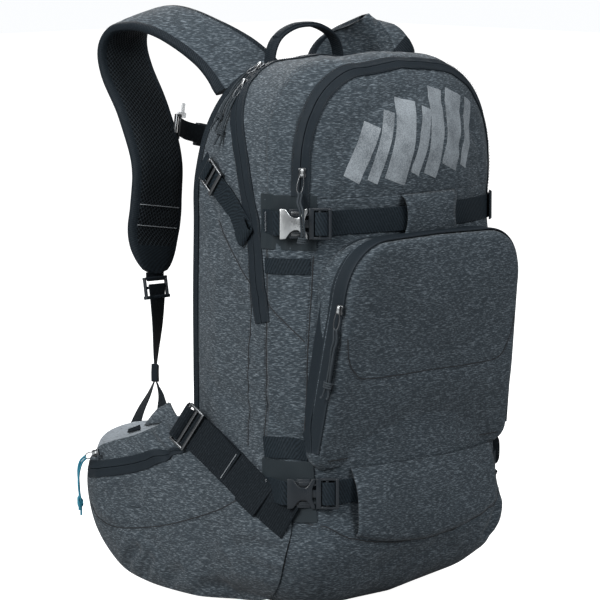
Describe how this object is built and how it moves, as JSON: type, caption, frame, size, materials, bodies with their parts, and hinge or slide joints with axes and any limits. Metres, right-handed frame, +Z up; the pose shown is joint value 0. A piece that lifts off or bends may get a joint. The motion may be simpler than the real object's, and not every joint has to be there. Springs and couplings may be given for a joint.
{
  "type": "ski backpack",
  "caption": "Upright ski touring backpack with domed front flap, zipped front pocket, padded shoulder straps, hip fins and side and front straps for skis.",
  "frame": {"origin": "centre of the bag's flat base, midway between its sides and 85 mm in front of the open rear rim of the main bag", "axes": "+Z up the bag, +Y towards the wearer's back, +X towards the wearer's right"},
  "size_m": [0.346, 0.4017, 0.6138],
  "materials": {
    "fabric": "charcoal heathered woven polyester",
    "lining": "pale grey ripstop lining",
    "foam": "foam pad covered in black air mesh",
    "webbing": "near-black polyamide webbing",
    "plastic": "black moulded acetal",
    "metal": "satin silver metal",
    "zip": "smooth coated zip tape and coil",
    "pull_cord": "black round cord",
    "teal_cord": "teal round cord"
  },
  "bodies": {
    "bag": {"main_bag": "fabric", "front_compartment": "fabric", "back_panel": "fabric", "back_protector": "foam", "shovel_sleeve": "lining", "back_pad": "foam", "lumbar_pad": "foam", "pocket_tray": "fabric", "flap_zip": "zip", "pocket_zip": "zip", "main_zip": "zip", "upper_strap_tab": "webbing", "upper_buckle_socket": "metal", "upper_strap_webbing": "webbing", "upper_strap_loop": "fabric", "upper_strap_keeper": "webbing", "lower_strap_tab": "webbing", "lower_buckle_socket": "plastic", "lower_strap_webbing": "webbing", "lower_strap_cover": "fabric", "side_strap_left": "webbing", "side_lock_left": "metal", "side_strap_right": "webbing", "side_lock_right": "metal", "wide_strap_left": "webbing", "wide_strap_right": "webbing", "shoulder_pad_left": "foam", "shoulder_pad_right": "foam", "shoulder_webbing_left": "webbing", "shoulder_webbing_right": "webbing", "ladder_lock_left": "plastic", "ladder_lock_right": "plastic"},
    "flap": {"front_flap": "fabric"},
    "pocket": {"pocket_panel": "fabric"},
    "handle": {"grab_handle": "webbing"},
    "upper_plug": {"upper_buckle_plug": "plastic"},
    "lower_plug": {"lower_buckle_plug": "plastic"},
    "glide_left": {"tri_glide_left": "plastic"},
    "glide_right": {"tri_glide_right": "plastic"},
    "fin_left": {"hip_fin_left": "fabric", "hip_webbing_left": "webbing", "hip_buckle_socket": "plastic"},
    "fin_right": {"hip_fin_right": "fabric", "hip_webbing_right": "webbing", "hip_buckle_plug": "plastic"},
    "hip_pull_left": {"hip_slider_left": "metal", "hip_cord_left": "teal_cord"},
    "hip_pull_right": {"hip_slider_right": "metal", "hip_cord_right": "teal_cord"},
    "sternum": {"sternum_strap": "webbing", "sternum_buckle": "plastic"},
    "flap_pull": {"flap_slider": "metal", "flap_cord": "pull_cord"},
    "pocket_pull": {"pocket_slider": "metal", "pocket_cord": "pull_cord"},
    "main_pull_upper": {"main_slider_upper": "metal", "main_cord_upper": "pull_cord"},
    "main_pull_lower": {"main_slider_lower": "metal", "main_cord_lower": "pull_cord"}
  },
  "joints": [
    {"name": "flap_hinge", "type": "hinge", "parent": "bag", "child": "flap", "pos_m": [0, -0.092, 0.428], "axis": [1, 0, 0], "range_deg": [0, 85]},
    {"name": "pocket_hinge", "type": "hinge", "parent": "bag", "child": "pocket", "pos_m": [0, -0.105, 0.155], "axis": [1, 0, 0], "range_deg": [0, 75]},
    {"name": "handle_fold", "type": "hinge", "parent": "bag", "child": "handle", "pos_m": [0, 0.066, 0.562], "axis": [1, 0, 0], "range_deg": [-15, 45]},
    {"name": "upper_plug_slide", "type": "slide", "parent": "bag", "child": "upper_plug", "axis": [0.7071, -0.7071, 0], "range_m": [0, 0.022]},
    {"name": "lower_plug_slide", "type": "slide", "parent": "bag", "child": "lower_plug", "axis": [0.7071, -0.7071, 0], "range_m": [0, 0.022]},
    {"name": "glide_left_slide", "type": "slide", "parent": "bag", "child": "glide_left", "axis": [-0.094, -0.8495, -0.5192], "range_m": [-0.003, 0.022]},
    {"name": "glide_right_slide", "type": "slide", "parent": "bag", "child": "glide_right", "axis": [0.094, -0.8495, -0.5192], "range_m": [-0.003, 0.022]},
    {"name": "fin_left_hinge", "type": "hinge", "parent": "bag", "child": "fin_left", "pos_m": [-0.15, 0.089, 0.1], "axis": [0, 0, -1], "range_deg": [-15, 25]},
    {"name": "fin_right_hinge", "type": "hinge", "parent": "bag", "child": "fin_right", "pos_m": [0.15, 0.089, 0.1], "axis": [0, 0, 1], "range_deg": [-15, 25]},
    {"name": "hip_zip_left_slide", "type": "slide", "parent": "fin_left", "child": "hip_pull_left", "axis": [0, -0.932, 0.3625], "range_m": [0, 0.065]},
    {"name": "hip_zip_right_slide", "type": "slide", "parent": "fin_right", "child": "hip_pull_right", "axis": [0, -0.932, 0.3625], "range_m": [0, 0.065]},
    {"name": "sternum_slide", "type": "slide", "parent": "bag", "child": "sternum", "axis": [0, 0.459, 0.8884], "range_m": [-0.02, 0.02]},
    {"name": "flap_zip_slide", "type": "slide", "parent": "bag", "child": "flap_pull", "axis": [0, 0, 1], "range_m": [0, 0.03]},
    {"name": "pocket_zip_slide", "type": "slide", "parent": "bag", "child": "pocket_pull", "axis": [-0.0988, 0.1203, -0.9878], "range_m": [0, 0.12]},
    {"name": "main_zip_upper_slide", "type": "slide", "parent": "bag", "child": "main_pull_upper", "axis": [0.8702, 0.05, 0.4901], "range_m": [0, 0.008]},
    {"name": "main_zip_lower_slide", "type": "slide", "parent": "bag", "child": "main_pull_lower", "axis": [-0.7188, -0.1498, -0.6789], "range_m": [0, 0.016]}
  ]
}
